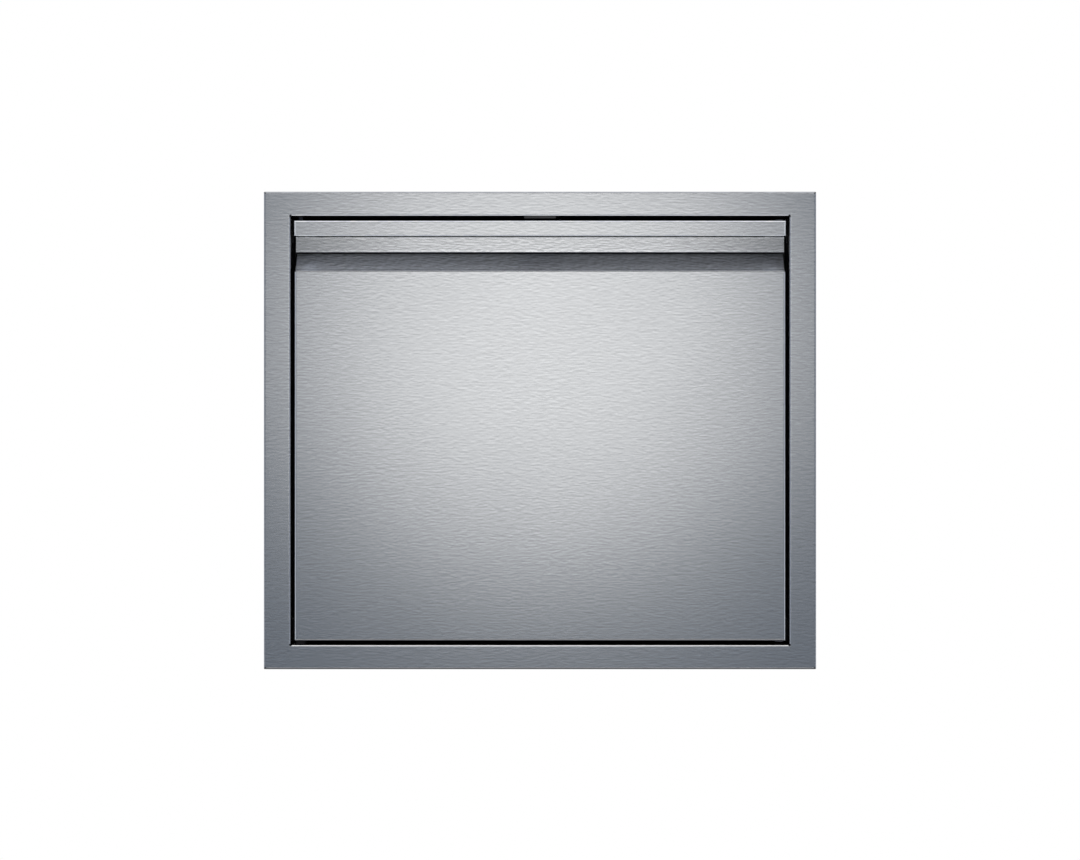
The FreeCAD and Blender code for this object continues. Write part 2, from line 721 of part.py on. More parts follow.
def make_door_liner():
    body = new_body("door_liner")
    profile = sketch_on(body, "YZ_Plane")
    outline(profile, [
        ("skin_back", "door_bottom + liner_margin"),
        ("door_back", "door_bottom + liner_margin"),
        ("door_back", "door_top"),
        ("wall_back", "door_top"),
        ("wall_back", "door_top - liner_gauge"),
        ("skin_back", "door_top - liner_gauge"),
    ])
    pad(body, profile, "2 * (door_half_width - liner_margin)", both_ways=True)
    round_edges(body, "inner_bend + liner_gauge", {"y": "door_back", "z": "door_top"})
    bore(body, "XZ_Plane", skin_screws(), "screw_bore", "0 - door_back", "0 - skin_back")
    return body


def make_liner_screws():
    return stepped("liner_screws", "XZ_Plane", skin_screws(), [
        ("liner_screw_head", "0 - door_back - liner_screw_rise", "0 - door_back"),
        ("liner_screw", "0 - door_back", "liner_screw_length - door_back"),
    ])


def make_door_stiffeners():
    """Hat channels: feet welded to the liner, crown glued to the skin."""
    body = new_body("door_stiffeners_left")
    profile = sketch_on(body, "XY_Plane", "door_bottom + rear_flange + stiffener_gap_below")
    middle = "0 - stiffener_spacing / 2"
    crown_left = f"{middle} - stiffener_crown / 2"
    crown_right = f"{middle} + stiffener_crown / 2"
    crown_front = "door_front + sheet_gauge + bond_gap"
    outline(profile, [
        (f"{crown_left} - stiffener_foot", "skin_back"),
        (f"{crown_left} - stiffener_foot", "skin_back - sheet_gauge"),
        (crown_left, "skin_back - sheet_gauge"),
        (crown_left, crown_front),
        (crown_right, crown_front),
        (crown_right, "skin_back - sheet_gauge"),
        (f"{crown_right} + stiffener_foot", "skin_back - sheet_gauge"),
        (f"{crown_right} + stiffener_foot", "skin_back"),
        (f"{crown_right} - sheet_gauge", "skin_back"),
        (f"{crown_right} - sheet_gauge", f"{crown_front} + sheet_gauge"),
        (f"{crown_left} + sheet_gauge", f"{crown_front} + sheet_gauge"),
        (f"{crown_left} + sheet_gauge", "skin_back"),
    ])
    pad(body, profile, "panel_top - stiffener_gap_above - door_bottom - rear_flange - stiffener_gap_below")
    return pair("door_stiffeners", body)


def make_strike_plate():
    front = "door_front + strike_setback"
    return plate(
        "strike_plate", "XY_Plane", "block_top - strike_height", "block_top",
        "0 - strike_length / 2", "strike_length / 2", front, f"{front} + strike_width",
    )


# Lower pivot: thick plates in the bottom corners, a fixed pin in the left one

def make_lower_pivot_plates():
    inside = "sheet_gauge + inner_bend"
    left = f"{inside} - door_half_width"
    front = f"door_front + {inside}"
    body = plate(
        "lower_pivot_plates_left", "XY_Plane", "door_bottom + sheet_gauge", "lower_plate_top",
        left, f"{left} + lower_plate_length", front, f"{front} + lower_plate_width",
    )
    bore(body, "XY_Plane", [LEFT_PIVOT], "pivot_diameter", "door_bottom + sheet_gauge", "lower_plate_top")
    return pair("lower_pivot_plates", body)


def make_lower_pivot_pin():
    tip = "bush_flange - opening_half_height - pin_engagement"
    body = stepped("lower_pivot_pin", "XY_Plane", [LEFT_PIVOT], [
        ("pivot_diameter", tip, "lower_plate_top"),
        ("pin_head_diameter", "lower_plate_top", "lower_plate_top + pin_head_height"),
    ])
    bevel_edges(body, "pin_chamfer", {"z": tip})
    return body


# Upper pivot: a sprung pin in the lip's left block

def make_lip_block_left():
    edge = "0 - door_half_width"
    body = plate(
        "lip_block_left", "XY_Plane", "block_bottom", "block_top",
        edge, f"{edge} + block_length", "door_front + sheet_gauge", "block_back",
    )
    round_edges(body, "inner_bend", {"x": edge, "y": "block_back"}, {"y": "block_back", "z": "block_bottom"})
    nose = sketch_on(body, "XY_Plane", "lip_bottom")
    rectangle(nose, edge, f"{edge} + nose_width", "door_front", "hem_back")
    pad(body, nose, "lip_height")
    round_edges(body, "outer_bend", {"y": "door_front", "z": "door_top"})
    round_edges(body, "hem_bend", {"y": "door_front", "z": "lip_bottom"})
    bore(body, "XY_Plane", [LEFT_PIVOT], "pivot_bore", "block_bottom", "block_top")
    bore(body, "XY_Plane", [LEFT_PIVOT], "chamber_diameter", "block_bottom", "chamber_top")
    slot = sketch_on(body, "XZ_Plane", "0 - block_back")
    half_slot = "(lever_diameter / 2 + screw_clearance)"
    rectangle(
        slot, f"0 - pivot_x - {half_slot}", f"0 - pivot_x + {half_slot}",
        f"lever_height - pin_travel - {half_slot}", f"lever_height + {half_slot}",
    )
    cut(body, slot, "block_back - pivot_y")
    return body


def make_upper_pivot_pin():
    tip = "opening_half_height - bush_flange + pin_engagement"
    body = stepped("upper_pivot_pin", "XY_Plane", [LEFT_PIVOT], [
        ("tail_diameter", "block_bottom", "collar_bottom"),
        ("chamber_diameter - 2 * sliding_clearance", "collar_bottom", "chamber_top"),
        ("pivot_diameter", "chamber_top", tip),
    ])
    bevel_edges(body, "pin_chamfer", {"z": tip})
    lever_hole = [("0 - pivot_x", "lever_height")]
    bore(body, "XZ_Plane", lever_hole, "lever_diameter", "0 - pivot_y - chamber_diameter", "0 - pivot_y")
    return body


def make_pin_lever():
    rod_end = "0 - block_back - lever_reach"
    body = stepped("pin_lever", "XZ_Plane", [("0 - pivot_x", "lever_height")], [
        ("knob_diameter", f"{rod_end} - knob_length", rod_end),
        ("lever_diameter", rod_end, "0 - pivot_y"),
    ])
    bevel_edges(body, "knob_bevel", {"y": "block_back + lever_reach + knob_length"})
    return body


def make_spring_cap():
    body = stepped("spring_cap", "XY_Plane", [LEFT_PIVOT], [
        ("chamber_diameter", "block_bottom", "block_bottom + cap_height"),
    ])
    opening = "tail_diameter + 2 * sliding_clearance"
    bore(body, "XY_Plane", [LEFT_PIVOT], opening, "block_bottom", "block_bottom + cap_height")
    return body


def make_pin_spring():
    """Coil spring of square wire between the cap and the pin's collar, each half turn an arc."""
    wire = value("spring_wire")
    radius = (value("spring_diameter") - wire) / 2
    low = value("block_bottom + cap_height") + wire / 2
    high = value("collar_bottom") - wire / 2
    half_turns = round(2 * value("spring_turns"))

    def point(half_turn):
        angle = half_turn * math.pi
        height = low + (high - low) * half_turn / half_turns
        return FreeCAD.Vector(radius * math.cos(angle), radius * math.sin(angle), height)

    arcs = [Part.Arc(point(turn), point(turn + 0.5), point(turn + 1)).toShape() for turn in range(half_turns)]
    path = Part.Wire(arcs)
    start = arcs[0].tangentAt(arcs[0].FirstParameter)
    outward = FreeCAD.Vector(wire / 2, 0, 0)
    upward = outward.cross(start)
    lower_edge = [point(0) + outward - upward, point(0) - outward - upward]
    upper_edge = [point(0) - outward + upward, point(0) + outward + upward]
    section = Part.makePolygon(lower_edge + upper_edge + lower_edge[:1])
    sweep = Part.BRepOffsetAPI.MakePipeShell(path)
    sweep.setBiNormalMode(FreeCAD.Vector(0, 0, 1))
    sweep.add(section)
    sweep.build()
    sweep.makeSolid()
    spring = doc.addObject("Part::Feature", "pin_spring")
    spring.Label = "pin_spring"
    spring.Shape = sweep.shape()
    spring.Placement = FreeCAD.Placement(
        FreeCAD.Vector(value("0 - pivot_x"), value("pivot_y"), 0), FreeCAD.Rotation()
    )
    return spring


def make_door_hole_plugs():
    """Plugs in the door's pivot holes on the side without pivots."""
    head = "pivot_bore + 2 * plug_overlap"
    upper = stepped("upper_door_plug", "XY_Plane", [RIGHT_PIVOT], [
        ("pivot_diameter", "door_top - plug_barrel", "door_top"),
        (head, "door_top", "door_top + plug_head"),
    ])
    lower = stepped("lower_door_plug", "XY_Plane", [RIGHT_PIVOT], [
        (head, "door_bottom - plug_head", "door_bottom"),
        ("pivot_diameter", "door_bottom", "door_bottom + plug_barrel"),
    ])
    return grouped("door_hole_plugs", [upper, lower])


# Assembly

stop_rail_left = make_stop_rail_left()
lip_block_left = make_lip_block_left()
nodes = [
    make_face_frame(),
    make_level_rail("stop_rail_top", ""),
    make_level_rail("stop_rail_bottom", "0 - "),
    stop_rail_left,
    mirrored("stop_rail_right", stop_rail_left),
    make_door_seal(),
    make_pivot_reinforcements(),
    make_upper_bushing(),
    make_lower_bushing(),
    make_thrust_washer(),
    make_frame_hole_plugs(),
    make_catch_body(),
    make_catch_magnet(),
    make_catch_rivets(),
    make_door_skin(),
    make_grip_channel(),
    make_grip_end_plates(),
    make_door_liner(),
    make_liner_screws(),
    make_door_stiffeners(),
    make_strike_plate(),
    make_lower_pivot_plates(),
    make_lower_pivot_pin(),
    lip_block_left,
    mirrored("lip_block_right", lip_block_left),
    make_upper_pivot_pin(),
    make_pin_lever(),
    make_spring_cap(),
    make_pin_spring(),
    make_door_hole_plugs(),
]
doc.recompute()

for item in doc.Objects:
    if "Invalid" in item.State or "Error" in item.State:
        raise ValueError(f"{item.Label} did not build: {item.State}")
os.makedirs("parts", exist_ok=True)
for node in nodes:
    if node.Shape.isNull() or not node.Shape.isValid():
        raise ValueError(f"{node.Label} has no sound shape")
    node.Shape.exportStep(f"parts/{node.Label}.step")
    print(node.Label, len(node.Shape.Solids), round(node.Shape.Volume, 1))
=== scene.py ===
import bpy
import math
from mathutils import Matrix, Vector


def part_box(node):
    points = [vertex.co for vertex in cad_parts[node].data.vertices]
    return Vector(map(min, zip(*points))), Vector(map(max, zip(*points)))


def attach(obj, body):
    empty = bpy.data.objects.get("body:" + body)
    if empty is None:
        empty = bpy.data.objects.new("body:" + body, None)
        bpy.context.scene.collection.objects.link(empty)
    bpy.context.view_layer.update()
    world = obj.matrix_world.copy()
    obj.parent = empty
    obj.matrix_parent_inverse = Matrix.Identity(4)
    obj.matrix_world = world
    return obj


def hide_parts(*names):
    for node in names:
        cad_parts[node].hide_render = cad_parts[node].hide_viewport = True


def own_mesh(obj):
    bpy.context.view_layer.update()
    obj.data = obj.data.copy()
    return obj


# Single access door for an outdoor kitchen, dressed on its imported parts.
# Metres, in the parts' own frame: X to the right, Y into the wall, Z up, wall face at y = 0.

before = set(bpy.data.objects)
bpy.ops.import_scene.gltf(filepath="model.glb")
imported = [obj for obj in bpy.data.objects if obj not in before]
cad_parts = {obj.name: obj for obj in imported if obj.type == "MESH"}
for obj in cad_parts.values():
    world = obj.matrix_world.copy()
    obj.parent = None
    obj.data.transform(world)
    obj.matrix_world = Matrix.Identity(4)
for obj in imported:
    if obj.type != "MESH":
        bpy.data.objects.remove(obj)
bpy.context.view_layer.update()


# Face frame
# One sheet of brushed stainless steel, cut out in the middle and folded into a face, four
# returns to the wall and the jamb round the door. The grain runs level on all four sides, and
# the bends round the opening carry painted highlights, the outer bends painted shade.

def add_node(tree, kind, inputs=None, **settings):
    """A node of a tree. An input given as a socket is linked, any other is set."""
    node = tree.nodes.new(kind)
    for name, setting in settings.items():
        setattr(node, name, setting)
    for name, given in (inputs or {}).items():
        if isinstance(given, bpy.types.NodeSocket):
            tree.links.new(given, node.inputs[name])
        else:
            node.inputs[name].default_value = given
    return node


def combine(tree, operation, first, second=0.0):
    """Two numbers put together by one operation."""
    return add_node(tree, "ShaderNodeMath", {0: first, 1: second}, operation=operation).outputs[0]


def times(tree, *numbers):
    """Numbers multiplied together."""
    product = numbers[0]
    for number in numbers[1:]:
        product = combine(tree, "MULTIPLY", product, number)
    return product


def spread(tree, number, low, high, to_low, to_high):
    """A number moved from one range to another and held inside it."""
    inputs = {"Value": number, "From Min": low, "From Max": high, "To Min": to_low, "To Max": to_high}
    return add_node(tree, "ShaderNodeMapRange", inputs).outputs["Result"]


def either_side(tree, number, limit, below, above, blur=0.005):
    """One value below a limit and another above it, with a short blur between them."""
    return spread(tree, number, limit - blur, limit + blur, below, above)


def split(tree, vector):
    """The three numbers of a vector."""
    return add_node(tree, "ShaderNodeSeparateXYZ", {0: vector}).outputs


def join(tree, x, y, z):
    """A vector made of three numbers."""
    return add_node(tree, "ShaderNodeCombineXYZ", {0: x, 1: y, 2: z}).outputs[0]


NOISE_LOW = 0.3
NOISE_HIGH = 0.7


def noise(tree, vector, scale, detail=2.0, distortion=0.0):
    """A soft random pattern that seldom leaves the range from NOISE_LOW to NOISE_HIGH."""
    inputs = {"Vector": vector, "Scale": scale, "Detail": detail, "Distortion": distortion}
    return add_node(tree, "ShaderNodeTexNoise", inputs).outputs[0]


def between(tree, pattern, low, high):
    """A noise pattern turned into a number between two."""
    return spread(tree, pattern, NOISE_LOW, NOISE_HIGH, low, high)


def length_of(tree, vector):
    """How long a vector is."""
    return add_node(tree, "ShaderNodeVectorMath", {0: vector}, operation="LENGTH").outputs["Value"]


def blend_colours(tree, share, first, second):
    """A colour between two. Inputs 6 and 7 and output 2 of the mix node are its colours."""
    inputs = {0: share, 6: first, 7: second}
    return add_node(tree, "ShaderNodeMix", inputs, data_type="RGBA").outputs[2]


def shaded(colour, factor):
    """A colour made lighter or darker, with its alpha."""
    return tuple(channel * factor for channel in colour) + (1.0,)


def mottled(tree, pattern, colour, dark, light):
    """A colour that follows a noise pattern from a darker tone to a lighter one."""
    return blend_colours(tree, between(tree, pattern, 0.0, 1.0), shaded(colour, dark), shaded(colour, light))


def new_material(name):
    """A material with nothing but its surface shader."""
    material = bpy.data.materials.new(name)
    material.use_nodes = True
    tree = material.node_tree
    surface = next(node for node in tree.nodes if node.type == "BSDF_PRINCIPLED")
    return material, tree, surface


def give_surface(tree, surface, shade, dull, relief, depth, strength=1.0, metal=1.0):
    """Give a surface shader its colour, its roughness and its fine relief."""
    bump = add_node(tree, "ShaderNodeBump", {"Height": relief, "Strength": strength, "Distance": depth})
    tree.links.new(shade, surface.inputs["Base Color"])
    tree.links.new(dull, surface.inputs["Roughness"])
    tree.links.new(bump.outputs[0], surface.inputs["Normal"])
    surface.inputs["Metallic"].default_value = metal


def object_place(tree):
    """The place on a piece, in the piece's own axes."""
    return add_node(tree, "ShaderNodeTexCoord").outputs["Object"]


def object_facing(tree, kind):
    """The way a surface faces, in the piece's own axes, so that it turns with the door."""
    facing = add_node(tree, "ShaderNodeNewGeometry").outputs[kind]
    to_object = {"vector_type": "NORMAL", "convert_from": "WORLD", "convert_to": "OBJECT"}
    return add_node(tree, "ShaderNodeVectorTransform", {0: facing}, **to_object).outputs[0]


LEVEL_FACE = 0.9


def grain_field(tree, seed, streak_length, streak_width):
    """Coordinates of a level brushing, which follow the sheet round its folds."""
    x, y, z = split(tree, object_place(tree))
    upward = split(tree, object_facing(tree, "True Normal"))[2]
    level = combine(tree, "GREATER_THAN", combine(tree, "ABSOLUTE", upward), LEVEL_FACE)
    along = combine(tree, "DIVIDE", combine(tree, "ADD", x, y), streak_length)
    across = combine(tree, "DIVIDE", combine(tree, "ADD", z, times(tree, y, level)), streak_width)
    return join(tree, along, across, seed)


WISP_LENGTH = 0.010
WISP_WIDTH = 0.0012
WISP_DETAIL = 2.0
WISP_WAVE = 0.8
FLANK_STEP = 1.5
FLANK_TONE = 0.3


def brush_wisps(tree, seed):
    """Short wavy wisps left by the belt, about 0.5. Each has a light flank and a darker one beside it."""
    light_flank = grain_field(tree, seed, WISP_LENGTH, WISP_WIDTH)
    beside = {0: light_flank, 1: (0.0, FLANK_STEP, 0.0)}
    dark_flank = add_node(tree, "ShaderNodeVectorMath", beside, operation="ADD").outputs[0]
    light = noise(tree, light_flank, 1.0, WISP_DETAIL, WISP_WAVE)
    dark = noise(tree, dark_flank, 1.0, WISP_DETAIL, WISP_WAVE)
    return combine(tree, "SUBTRACT", light, spread(tree, dark, 0.0, 1.0, -FLANK_TONE, FLANK_TONE))


FLAT_FACING = 0.99
BENT_FACING = 0.94


def on_bends(tree, also_flat=None):
    """0 on a sheet's flat faces and 1 on its bends. A sloping flat face is named by its direction."""
    facing = object_facing(tree, "Normal")
    sides = split(tree, add_node(tree, "ShaderNodeVectorMath", {0: facing}, operation="ABSOLUTE").outputs[0])
    flattest = combine(tree, "MAXIMUM", combine(tree, "MAXIMUM", sides[0], sides[1]), sides[2])
    if also_flat:
        slope = add_node(tree, "ShaderNodeVectorMath", {0: facing, 1: also_flat}, operation="DOT_PRODUCT")
        flattest = combine(tree, "MAXIMUM", flattest, slope.outputs["Value"])
    return spread(tree, flattest, FLAT_FACING, BENT_FACING, 0.0, 1.0)


# Bends are tinted cool, a painted reflection of the bluish light round the door.
BEND_REFLECTION_TINT = (0.93, 0.975, 1.08, 1.0)
WHITE = (1.0, 1.0, 1.0, 1.0)


def tinted(tree, colour, factor):
    """A colour times a number or another colour."""
    return add_node(tree, "ShaderNodeVectorMath", {0: colour, 1: factor}, operation="MULTIPLY").outputs[0]


SCRATCHES_IN_WISP = 6.0
SCRATCH_SHARE = 0.2
BRUSH_CLOUD_SCALE = 9.0
GRAIN_SHINE = 0.006
CLOUD_SHINE = 0.004
GRAIN_DEPTH = 0.00001


def brushed_steel(name, colour, roughness, seed, contrast=0.17, lightness=None, dullness=None):
    """Steel brushed with a belt: wavy wisps, fine scratches and a painted cool reflection on the bends. A
    piece may add its own painted light and shade.
    """
    material, tree, surface = new_material(name)
    scratches = noise(tree, grain_field(tree, seed, WISP_LENGTH, WISP_WIDTH), SCRATCHES_IN_WISP, detail=1.0)
    wisps = times(tree, brush_wisps(tree, seed), 1.0 - SCRATCH_SHARE)
    grain = combine(tree, "ADD", wisps, times(tree, scratches, SCRATCH_SHARE))
    shade = mottled(tree, grain, colour, dark=1.0 - contrast, light=1.0 + contrast)
    # Painted cool reflection on the bends.
    shade = tinted(tree, shade, blend_colours(tree, on_bends(tree), WHITE, BEND_REFLECTION_TINT))
    if lightness:
        shade = tinted(tree, shade, lightness(tree))
    clouds = noise(tree, object_place(tree), BRUSH_CLOUD_SCALE, detail=1.0)
    dull = between(tree, grain, roughness + GRAIN_SHINE, roughness - GRAIN_SHINE)
    dull = combine(tree, "ADD", dull, between(tree, clouds, -CLOUD_SHINE, CLOUD_SHINE))
    if dullness:
        dull = combine(tree, "ADD", dull, dullness(tree))
    give_surface(tree, surface, shade, dull, grain, GRAIN_DEPTH)
    return material


def held_to(tree, share, factor):
    """A factor that holds where the share is 1 and fades to 1 where the share is 0."""
    return spread(tree, share, 0.0, 1.0, 1.0, factor)


def dress(node, material):
    """Give a carried-over part its finish."""
    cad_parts[node].material_slots[0].material = material


def past_corner(tree, corner_x, corner_z):
    """How far a place lies past the nearest of four like corners, sideways and up or down."""
    x, _, z = split(tree, object_place(tree))
    sideways = combine(tree, "SUBTRACT", combine(tree, "ABSOLUTE", x), corner_x)
    upright = combine(tree, "SUBTRACT", combine(tree, "ABSOLUTE", z), corner_z)
    return sideways, upright


# The relief holes at the inner corners are darkened as painted shade.
RELIEF_RADIUS = 0.0013
RELIEF_SHADE_TONE = 0.05
RELIEF_SHADE_FADE = 1.3


def relief_hole_shade(tree, corner_x, corner_z):
    """Painted shade in the holes that relieve the sheet for its folds, at the inner corners."""
    sideways, upright = past_corner(tree, corner_x, corner_z)
    distance = length_of(tree, join(tree, sideways, 0.0, upright))
    return spread(tree, distance, RELIEF_RADIUS, RELIEF_RADIUS * RELIEF_SHADE_FADE, RELIEF_SHADE_TONE, 1.0)


SEAM_WIDTH = 0.0011
SEAM_LENGTH = 0.0026
SEAM_TONE = 0.1
SEAM_FADE = 0.9


def mitre_seam(tree, corner_x, corner_z):
    """Dark along the short welded mitre between two returns, at the outer corners."""
    sideways, upright = past_corner(tree, corner_x, corner_z)
    off_seam = combine(tree, "ABSOLUTE", combine(tree, "SUBTRACT", sideways, upright))
    along_seam = combine(tree, "MINIMUM", sideways, upright)
    seam = spread(tree, off_seam, SEAM_WIDTH / 2, SEAM_WIDTH, SEAM_TONE, 1.0)
    past_end = spread(tree, along_seam, -SEAM_LENGTH, -SEAM_LENGTH * SEAM_FADE, 1.0, 0.0)
    return combine(tree, "MAXIMUM", seam, past_end)


SIDE_FLANGE = 0.02965
END_FLANGE = 0.0270


def frame_painted_light_and_seams(tree):
    """Painted highlights on the bends round the opening and painted shade on the outer bends, most at the
    bottom.
    """
    x, _, z = split(tree, object_place(tree))
    tilt = split(tree, object_facing(tree, "Normal"))[2]
    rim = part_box("face_frame")[1]
    mid_side = rim.x - SIDE_FLANGE / 2
    mid_end = rim.z - END_FLANGE / 2
    # Painted highlights and shade: each bend is lightened or darkened by the way it faces.
    upright = either_side(tree, combine(tree, "ABSOLUTE", x), mid_side, below=1.1, above=0.82)
    below_door = either_side(tree, tilt, 0.43, below=0.2, above=2.0, blur=0.07)
    above_door = either_side(tree, tilt, -0.675, below=0.1, above=1.6, blur=0.075)
    level = either_side(tree, z, 0.0, below=below_door, above=above_door)
    level = either_side(tree, z, mid_end, below=level, above=0.7)
    level = either_side(tree, z, -mid_end, below=0.18, above=level)
    painted_bend_light = either_side(tree, combine(tree, "ABSOLUTE", tilt), 0.15, below=upright, above=level, blur=0.05)
    bends = held_to(tree, on_bends(tree), painted_bend_light)
    outer_corners = mitre_seam(tree, rim.x, rim.z)
    inner_corners = relief_hole_shade(tree, rim.x - SIDE_FLANGE, rim.z - END_FLANGE)
    return times(tree, bends, outer_corners, inner_corners)


STEEL = (0.608, 0.602, 0.588)
BRUSHED = 0.2157
# The frame's bends carry painted highlights and shade.
frame_steel = brushed_steel(
    "frame_brushed_steel", STEEL, BRUSHED, seed=3.0, contrast=0.18, lightness=frame_painted_light_and_seams,
)
dress("face_frame", frame_steel)


# Stop rails
# Four angles of stainless sheet, welded inside the jamb, with the dull grey of the rolled
# sheet. The legs that the door closes on carry the seal; their front faces are black painted shade.

ROLL_LINE_LENGTH = 0.12
ROLL_LINE_WIDTH = 0.006
ROLL_LINE_SHARE = 0.4
ROLL_CLOUD_SCALE = 45.0
ROLL_SHINE = 0.06


def rolled_steel(name, colour, roughness, seed, lightness=None):
    """Sheet as it leaves the mill: faint rolling lines under a cloudy dull skin."""
    material, tree, surface = new_material(name)
    lines = noise(tree, grain_field(tree, seed, ROLL_LINE_LENGTH, ROLL_LINE_WIDTH), 1.0, detail=3.0)
    clouds = noise(tree, object_place(tree), ROLL_CLOUD_SCALE, detail=4.0)
    lines = times(tree, lines, ROLL_LINE_SHARE)
    skin = combine(tree, "ADD", lines, times(tree, clouds, 1.0 - ROLL_LINE_SHARE))
    shade = mottled(tree, skin, colour, dark=0.88, light=1.08)
    if lightness:
        shade = tinted(tree, shade, lightness(tree))
    dull = between(tree, skin, roughness + ROLL_SHINE, roughness - ROLL_SHINE)
    give_surface(tree, surface, shade, dull, skin, depth=0.00003, strength=0.6)
    return material


def front_faces_painted_shade(tree):
    """Painted shade: black on faces turned to the front, where the seal or the inside of the door lies."""
    faces_front = split(tree, object_facing(tree, "True Normal"))[1]
    return either_side(tree, faces_front, -0.55, below=0.04, above=1.0, blur=0.05)


ROLLED = (0.50, 0.505, 0.515)
ROLLED_ROUGHNESS = 0.42
# The rails' faces turned to the front are black painted shade.
rail_steel = rolled_steel("rail_steel_painted_shade", ROLLED, ROLLED_ROUGHNESS, seed=11.0, lightness=front_faces_painted_shade)
for rail in ("stop_rail_top", "stop_rail_bottom", "stop_rail_left", "stop_rail_right"):
    dress(rail, rail_steel)


# Door seal
# A broad ribbed strip of black rubber, extruded, mitred at the four corners and glued to the
# stop rails. It closes the gap round the door, which looks dead black because of it and of the painted shade
# on the rails.

MOULD_CLOUD_SCALE = 60.0
MOULD_SHINE = 0.07


def moulded(name, colour, roughness, grain_size, depth, shine=0.5):
    """Rubber or plastic: a fine pebbled skin with slight changes of shine."""
    material, tree, surface = new_material(name)
    pebbles = noise(tree, object_place(tree), 1.0 / grain_size, detail=3.0)
    clouds = noise(tree, object_place(tree), MOULD_CLOUD_SCALE, detail=2.0)
    shade = mottled(tree, clouds, colour, dark=0.85, light=1.15)
    dull = between(tree, pebbles, roughness - MOULD_SHINE, roughness + MOULD_SHINE)
    give_surface(tree, surface, shade, dull, pebbles, depth, strength=0.5, metal=0.0)
    surface.inputs["Specular IOR Level"].default_value = shine
    return material


def sized_tree(name, sizes):
    """A geometry tree with a start and one number input for each size."""
    tree = bpy.data.node_groups.new(name, "GeometryNodeTree")
    tree.interface.new_socket("Places", in_out="INPUT", socket_type="NodeSocketGeometry")
    for size in sizes:
        tree.interface.new_socket(size, in_out="INPUT", socket_type="NodeSocketFloat")
    tree.interface.new_socket("Piece", in_out="OUTPUT", socket_type="NodeSocketGeometry")
    return tree, add_node(tree, "NodeGroupInput").outputs


MERGE_DISTANCE = 0.000001
SHARP_ANGLE = 0.6


def finish_tree(tree, geometry, material):
    """End a tree with real meshes, their close points merged and their sharp edges kept, and the finish."""
    whole = add_node(tree, "GeometryNodeRealizeInstances", {0: geometry}).outputs[0]
    merged = add_node(tree, "GeometryNodeMergeByDistance", {0: whole, "Distance": MERGE_DISTANCE}).outputs[0]
    smooth = add_node(tree, "GeometryNodeSetShadeSmooth", {0: merged}).outputs[0]
    angle = add_node(tree, "GeometryNodeInputMeshEdgeAngle").outputs[0]
    is_sharp = combine(tree, "GREATER_THAN", angle, SHARP_ANGLE)
    sharp = {0: smooth, "Selection": is_sharp, "Shade Smooth": False}
    creased = add_node(tree, "GeometryNodeSetShadeSmooth", sharp, domain="EDGE").outputs[0]
    dressed = add_node(tree, "GeometryNodeSetMaterial", {0: creased, "Material": material}).outputs[0]
    add_node(tree, "NodeGroupOutput", {0: dressed})


def grown(name, places, tree, sizes):
    """The piece that a tree makes from a set of places, turned into a plain mesh."""
    start = bpy.data.meshes.new(name)
    start.from_pydata(places, [], [])
    piece = bpy.data.objects.new(name, start)
    bpy.context.scene.collection.objects.link(piece)
    modifier = piece.modifiers.new("grow", "NODES")
    modifier.node_group = tree
    for socket in tree.interface.items_tree:
        if socket.name in sizes:
            modifier[socket.identifier] = sizes[socket.name]
    made = piece.evaluated_get(bpy.context.evaluated_depsgraph_get())
    mesh = bpy.data.meshes.new_from_object(made)
    # The start has no finish, so that an empty slot may come first.
    if mesh.materials[0] is None:
        mesh.materials.pop(index=0)
    piece.modifiers.clear()
    piece.data = mesh
    return piece


def kept_number(tree, geometry, name, number):
    """Remember a number on each point under a name."""
    inputs = {0: geometry, "Name": name, "Value": number}
    return add_node(tree, "GeometryNodeStoreNamedAttribute", inputs, data_type="FLOAT").outputs[0]


def kept(tree, name):
    """A number remembered on each point."""
    return add_node(tree, "GeometryNodeInputNamedAttribute", {"Name": name}, data_type="FLOAT").outputs[0]


def drawn_in(tree, side, reach, inset):
    """A place along one axis, on the given side of the middle and drawn in from its reach."""
    return times(tree, combine(tree, "SIGN", side), combine(tree, "SUBTRACT", reach, inset))


STRIP_WIDTH = 0.016
STRIP_STEPS = 57
SHOULDER_POWER = 8.0
seal_rubber = moulded(
    "seal_black_rubber", (0.012, 0.012, 0.013), roughness=0.75, grain_size=0.0011, depth=0.00015, shine=0.25,
)
seal_low, seal_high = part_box("door_seal")
seal_sizes = {
    "Half width": seal_high.x, "Half height": seal_high.z, "Strip width": STRIP_WIDTH, "Base": seal_high.y,
    "Rise": seal_high.y - seal_low.y, "Ribs": 4.0, "Rib depth": 0.3,
}
seal_tree, seal = sized_tree("ribbed_seal", seal_sizes)

# The strip starts as a short line that only carries numbers. Its points get their places after the sweep.
strip = add_node(seal_tree, "GeometryNodeCurvePrimitiveLine", {"End": (0.1, 0.0, 0.0)}).outputs[0]
strip = add_node(seal_tree, "GeometryNodeResampleCurve", {0: strip, "Count": STRIP_STEPS}).outputs[0]
across = add_node(seal_tree, "GeometryNodeSplineParameter").outputs["Factor"]
off_middle = combine(seal_tree, "ABSOLUTE", spread(seal_tree, across, 0.0, 1.0, -1.0, 1.0))
shoulder = combine(seal_tree, "SUBTRACT", 1.0, combine(seal_tree, "POWER", off_middle, SHOULDER_POWER))
wave = combine(seal_tree, "SINE", times(seal_tree, across, seal["Ribs"], math.pi))
groove = combine(seal_tree, "SUBTRACT", 1.0, combine(seal_tree, "ABSOLUTE", wave))
rib = combine(seal_tree, "SUBTRACT", 1.0, times(seal_tree, groove, seal["Rib depth"]))
rise = times(seal_tree, seal["Rise"], times(seal_tree, shoulder, rib))
strip = kept_number(seal_tree, strip, "inset", times(seal_tree, across, seal["Strip width"]))
strip = kept_number(seal_tree, strip, "rise", rise)
strip = add_node(seal_tree, "GeometryNodeSetSplineCyclic", {0: strip, "Cyclic": True}).outputs[0]

